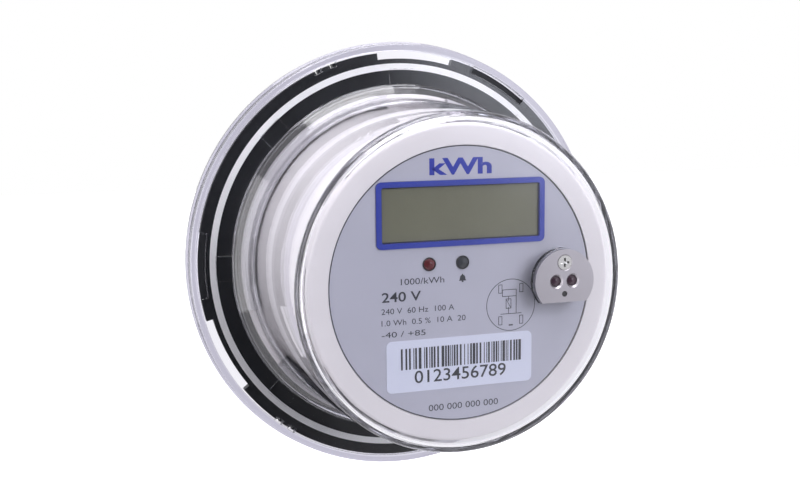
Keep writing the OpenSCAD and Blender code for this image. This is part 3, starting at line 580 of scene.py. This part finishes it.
def printed(name, words, x, z, size_mm, wide_mm, ink=DARK_INK, face=None, align="LEFT", bold=0.0):
    """Numerals and unit signs, as a thin layer of ink in front of a face."""
    curve = bpy.data.curves.new(name, "FONT")
    curve.body = words
    curve.size = 1
    curve.offset = bold
    curve.resolution_u = CURVE_STEPS
    curve.extrude = 0.5
    sheet = bpy.data.objects.new(name, curve)
    bpy.context.scene.collection.objects.link(sheet)
    bpy.context.view_layer.update()
    mesh = bpy.data.meshes.new_from_object(sheet)
    bpy.data.objects.remove(sheet)
    bpy.data.curves.remove(curve)
    xs = [v.co.x for v in mesh.vertices]
    ys = [v.co.y for v in mesh.vertices]
    tall = size_mm * MM / (max(ys) - min(ys))
    wide = wide_mm * MM / (max(xs) - min(xs))
    start = {"LEFT": min(xs), "CENTER": (min(xs) + max(xs)) / 2}[align]
    front = plate_face if face is None else face
    for v in mesh.vertices:
        depth = INK_DEPTH if v.co.z > 0 else 0
        across = (v.co.x - start) * wide + x * MM
        up = (v.co.y - min(ys)) * tall + z * MM
        v.co = Vector((across, front - depth, up))
    mesh.materials.clear()
    mesh.materials.append(ink)
    piece = bpy.data.objects.new(name, mesh)
    bpy.context.scene.collection.objects.link(piece)
    return on_meter(piece)


print("ink", round(INK_DEPTH / MM, 3), "mm thick")

# %% [markdown]
# Each line of print is one row: its name, its words, where it starts (or its middle) and how high it
# stands, its height and width in millimetres, its ink, how it lines up and how bold it is.

# %% Lines of print
plate_print = [
    ("unit_sign", "kWh", -0.85, 39.0, 5.9, 23.3, BLUE_INK, "CENTER", 0.035),
    ("pulse_rate", "1000/kWh", -23.3, 1.2, 2.2, 16.1, DARK_INK, "LEFT", 0.0),
    ("voltage", "240 V", -30.3, -4.6, 3.5, 14.4, DARK_INK, "LEFT", 0.012),
    ("rating_1", "240 V  60 Hz  100 A", -30.5, -8.8, 2.0, 27.0, DARK_INK, "LEFT", 0.0),
    ("rating_2", "1.0 Wh  0.5 %  10 A  20", -30.5, -12.9, 2.0, 31.3, DARK_INK, "LEFT", 0.0),
    ("rating_3", "-40 / +85", -30.5, -17.1, 2.0, 16.2, DARK_INK, "LEFT", 0.0),
    ("lot_number", "000 000 000 000", 0.0, -45.0, 2.3, 26.7, DARK_INK, "CENTER", 0.0),
]
for name, words, x, z, tall, wide, ink, align, bold in plate_print:
    printed(name, words, x, z, tall, wide, ink, None, align, bold)
printed("label_number", "0123456789", -1.15, -34.3, 4.6, 34.9, DARK_INK, label_face, "CENTER", 0.006)
print("lines of print:", len(plate_print) + 1)

# %% [markdown]
# Straight printed lines are thin boxes, so one helper draws any number of them as one piece. The bars
# of the label come first. Their widths are drawn from a seeded list, so that they spell nothing.

# %% Bars
def strokes(name, boxes, face):
    """Flat rectangles of ink, each given by its middle, its size and a turn in degrees."""
    shape = bmesh.new()
    for x, z, w, h, turn in boxes:
        bar = bmesh.ops.create_cube(shape, size=1)["verts"]
        bmesh.ops.scale(shape, verts=bar, vec=(w * MM, INK_DEPTH, h * MM))
        slant = Matrix.Rotation(math.radians(-turn), 3, "Y")
        bmesh.ops.rotate(shape, verts=bar, cent=(0, 0, 0), matrix=slant)
        bmesh.ops.translate(shape, verts=bar, vec=(x * MM, face - INK_DEPTH / 2, z * MM))
    return on_meter(mesh_piece(name, shape, DARK_INK))


BAR_UNIT = 0.33
BAR_HEIGHT = 7.6
BAR_Z = -25.3
BARS_START = -23.6
BARS_END = 21.3

draw = random.Random(11)
bars = []
edge = BARS_START
while edge < BARS_END:
    wide = BAR_UNIT * draw.choice((1, 1, 1, 2, 2, 3))
    bars.append((edge + wide / 2, BAR_Z, wide, BAR_HEIGHT, 0))
    edge += wide + BAR_UNIT * draw.choice((1, 1, 2, 2, 3))
strokes("bar_code", bars, label_face)
print("bars:", len(bars))

# %% [markdown]
# The round sign shows how the meter is wired: four jaws, the coil between them and the leads. Its
# circle is a small rectangle spun once round its middle, and the same helper draws the dark line at
# the edge of the nameplate: a painted shadow, dark ink for the shade in the narrow gap between the
# nameplate and the housing.

# %% Circles of ink
SIGN_X = 18.3
SIGN_Z = -8.6
SIGN_R = 9.4
LINE = 0.24
GAP_SHADOW_LINE = 0.32


def ring_of_ink(name, x, z, radius, line, face, ink=DARK_INK, sides=96, thick=INK_DEPTH):
    """A thin printed circle: a small rectangle spun once round its middle."""
    shape = bmesh.new()
    corners = [shape.verts.new(((x + radius + dx) * MM, face - dy * thick, z * MM))
               for dx, dy in ((-line / 2, 0), (line / 2, 0), (line / 2, 1), (-line / 2, 1))]
    edges = [shape.edges.new((corners[i], corners[(i + 1) % 4])) for i in range(4)]
    bmesh.ops.spin(shape, geom=corners + edges, cent=(x * MM, 0, z * MM), axis=(0, 1, 0),
                   angle=math.tau, steps=sides, use_merge=True)
    return on_meter(mesh_piece(name, shape, ink))


ring_of_ink("wiring_ring", SIGN_X, SIGN_Z, SIGN_R, LINE, plate_face)
print("sign radius", SIGN_R, "mm")

# %% Wiring sign
sign = []


def outline(x, z, w, h):
    """The four sides of a drawn rectangle."""
    return [(x, z + h / 2, w + LINE, LINE, 0), (x, z - h / 2, w + LINE, LINE, 0),
            (x - w / 2, z, LINE, h, 0), (x + w / 2, z, LINE, h, 0)]


for side in (-1, 1):
    for level in (6.0, -5.6):
        sign += outline(SIGN_X + side * 4.1, SIGN_Z + level, 1.3, 3.0)
sign += outline(SIGN_X - 0.6, SIGN_Z + 4.4, 5.4, 2.4)
sign += [(SIGN_X + 2.1, SIGN_Z + 0.8, LINE, 7.6, 0), (SIGN_X + 0.1, SIGN_Z - 3.2, 8.2, LINE, 0),
         (SIGN_X - 0.9, SIGN_Z - 2.0, LINE, 2.4, 0), (SIGN_X - 0.9, SIGN_Z + 2.4, LINE, 1.8, 0)]
sign += outline(SIGN_X - 0.9, SIGN_Z + 0.5, 1.9, 3.4)
sign += [(SIGN_X - 0.9, SIGN_Z + 0.5, 0.2, 3.2, 28), (SIGN_X, SIGN_Z - 7.4, 1.6, 0.5, 0)]
strokes("wiring_lines", sign, plate_face)
# Painted shadow: a ring of dark ink at the nameplate's edge, where the gap to the housing is in shade.
plate_r = high("nameplate").x / MM - GAP_SHADOW_LINE / 2
ring_of_ink("plate_painted_shadow", 0, 0, plate_r, GAP_SHADOW_LINE, plate_face, sides=160)
print("sign strokes:", len(sign))

# %% [markdown]
# The white sealing ring has a flat lip along its top, a little wider than the ring, which is what
# shows through the flange as a bright band. It is the same spun rectangle, only thicker.

# %% Lip of the sealing ring
LIP_W = 2.6
LIP_T = 0.15 * MM
SEAL_W = 1.9

seal_r = high("cover_seal").x / MM - SEAL_W / 2
lip = ring_of_ink("seal_lip", 0, 0, seal_r, LIP_W, low("cover_seal").y, finishes["white_seal"],
                  sides=192, thick=LIP_T)
print("seal lip radius", round(seal_r, 2), "mm")

# %% [markdown]
# The grey lamp warns of a fault. A small bell under it says so without words. It starts as a disc,
# whose lower half is pulled down into straight, flared sides, and it gets a knob and a clapper.

# %% Bell sign
BELL_X = middle("alarm_window").x / MM
BELL_Z = 2.5
BELL_R = 1.0
BELL_FLARE = 0.4
BELL_SIDES = math.radians(60)
BELL_FLOOR = math.radians(90) - BELL_SIDES

shape = bmesh.new()
for v in bmesh.ops.create_circle(shape, cap_ends=True, segments=48, radius=BELL_R)["verts"]:
    if v.co.y < 0:
        turn = math.atan2(-v.co.y, abs(v.co.x))
        fall = min(1, turn / BELL_SIDES)
        back = max(0, turn - BELL_SIDES) / BELL_FLOOR
        v.co.x = math.copysign(BELL_R * (1 + BELL_FLARE * fall ** 2) * (1 - back), v.co.x)
        v.co.y = -1.1 * BELL_R * fall
for up, radius in ((1.1, 0.26), (-1.35, 0.34)):
    dot = bmesh.ops.create_circle(shape, cap_ends=True, segments=20, radius=radius * BELL_R)["verts"]
    bmesh.ops.translate(shape, verts=dot, vec=(0, up * BELL_R, 0))
front = bmesh.ops.extrude_face_region(shape, geom=shape.faces[:])["geom"]
bmesh.ops.translate(shape, verts=[g for g in front if isinstance(g, bmesh.types.BMVert)],
                    vec=(0, 0, INK_DEPTH / MM))
bmesh.ops.scale(shape, verts=shape.verts, vec=(MM, MM, MM))
upright = Matrix.Rotation(math.pi / 2, 3, "X")
bmesh.ops.rotate(shape, verts=shape.verts, cent=(0, 0, 0), matrix=upright)
bmesh.ops.translate(shape, verts=shape.verts, vec=(BELL_X * MM, plate_face, BELL_Z * MM))
bell = on_meter(mesh_piece("bell_sign", shape, DARK_INK))
print("bell faces:", len(bell.data.polygons))

# %% [markdown]
# A lamp window really is a round lens: a shallow dome with a thin dark seat round it. The dome is a
# ball with all but its top slice cut away and the cut closed. The seat is a small circle spun round
# the lens.

# %% Domes and seats
CUT_TOUCH = 1e-5


def face_place(x, z, face):
    """Where a shape that was drawn facing up is put on a face that looks along -Y."""
    return Matrix.Translation((x * MM, face, z * MM)) @ Matrix.Rotation(math.pi / 2, 4, "X")


def dome(name, x, z, face, radius, rise, finish):
    """A shallow domed lens in front of a face."""
    ball = (radius ** 2 + rise ** 2) / (2 * rise)
    shape = bmesh.new()
    bmesh.ops.create_uvsphere(shape, u_segments=64, v_segments=48, radius=ball)
    whole = shape.verts[:] + shape.edges[:] + shape.faces[:]
    bmesh.ops.bisect_plane(shape, geom=whole, dist=CUT_TOUCH, plane_co=(0, 0, ball - rise),
                           plane_no=(0, 0, 1), clear_inner=True)
    bmesh.ops.holes_fill(shape, edges=[e for e in shape.edges if e.is_boundary], sides=0)
    bmesh.ops.translate(shape, verts=shape.verts, vec=(0, 0, rise - ball))
    bmesh.ops.scale(shape, verts=shape.verts, vec=(MM, MM, MM))
    bmesh.ops.transform(shape, verts=shape.verts, matrix=face_place(x, z, face))
    piece = mesh_piece(name, shape, finishes[finish], smooth=True)
    return piece


def seat(name, x, z, face, radius, thick, finish):
    """A thin round seat on a face."""
    shape = bmesh.new()
    bmesh.ops.create_circle(shape, segments=12, radius=thick * MM)
    bmesh.ops.translate(shape, verts=shape.verts, vec=((x + radius) * MM, face, z * MM))
    bmesh.ops.spin(shape, geom=shape.verts[:] + shape.edges[:], cent=(x * MM, face, z * MM),
                   axis=(0, 1, 0), angle=math.tau, steps=64, use_merge=True)
    piece = mesh_piece(name, shape, finishes[finish], smooth=True)
    return piece


print("dome and seat are ready")

# %% Lamp windows
DOME_MARGIN = 0.35
DOME_RISE = 0.7
SEAT_MARGIN = 0.15
SEAT_THICK = 0.22

for node, finish in (("pulse_window", "red_lens"), ("alarm_window", "smoke_lens")):
    at = middle(node) / MM
    face = low(node).y
    dome_r = width(node) / 2 / MM - DOME_MARGIN
    seat_r = width(node) / 2 / MM - SEAT_MARGIN
    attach(dome(node + "_dome", at.x, at.z, face, dome_r, DOME_RISE, finish), "meter")
    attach(seat(node + "_seat", at.x, at.z, face, seat_r, SEAT_THICK, "black_insert"), "meter")
    print(node, "dome radius", round(dome_r, 2), "mm")

# %% [markdown]
# Infrared light goes in and out of the optical port through two holes in its steel plate. Each gets
# the same dome, in dark plastic that only infrared light passes. The plate is screwed to the cover, so
# these two turn with the cover when it is twisted off.

# %% Port lenses
LENS_MARGIN = 0.15
LENS_RISE = 0.45

guides = (low("port_light_guides"), high("port_light_guides"))
guide_r = (guides[1].z - guides[0].z) / 2 / MM
port = middle("port_light_guides") / MM
for side, word in ((-1, "left"), (1, "right")):
    x = port.x + side * (width("port_light_guides") / 2 / MM - guide_r)
    lens = dome("port_lens_" + word, x, port.z, guides[0].y, guide_r - LENS_MARGIN, LENS_RISE,
                "infrared_window")
    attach(lens, "cover")
    print("port lens at x", round(x, 2), "mm, radius", round(guide_r - LENS_MARGIN, 2), "mm")

# %% [markdown]
# A thin dark line runs just inside the blue frame. It is a painted shadow: dark ink for the shade in
# the gap between the frame and the liquid crystal cell, drawn as four strokes on the glass.

# %% Painted shadow round the display
FRAME_SHADOW_LINE = 0.45
FRAME_LINE = 1.9

glass = middle("display_glass") / MM
glass_face = low("display_glass").y
open_w = width("display_frame") / MM - 2 * FRAME_LINE - FRAME_SHADOW_LINE
open_h = (high("display_frame").z - low("display_frame").z) / MM - 2 * FRAME_LINE - FRAME_SHADOW_LINE
# Painted shadow: four strokes of dark ink just inside the frame, where the frame shades the glass.
edges = [(glass.x, glass.z + open_h / 2, open_w + FRAME_SHADOW_LINE, FRAME_SHADOW_LINE, 0),
         (glass.x, glass.z - open_h / 2, open_w + FRAME_SHADOW_LINE, FRAME_SHADOW_LINE, 0),
         (glass.x - open_w / 2, glass.z, FRAME_SHADOW_LINE, open_h, 0),
         (glass.x + open_w / 2, glass.z, FRAME_SHADOW_LINE, open_h, 0)]
strokes("display_painted_shadow", edges, glass_face)
print("display opening", round(open_w, 1), "x", round(open_h, 1), "mm")
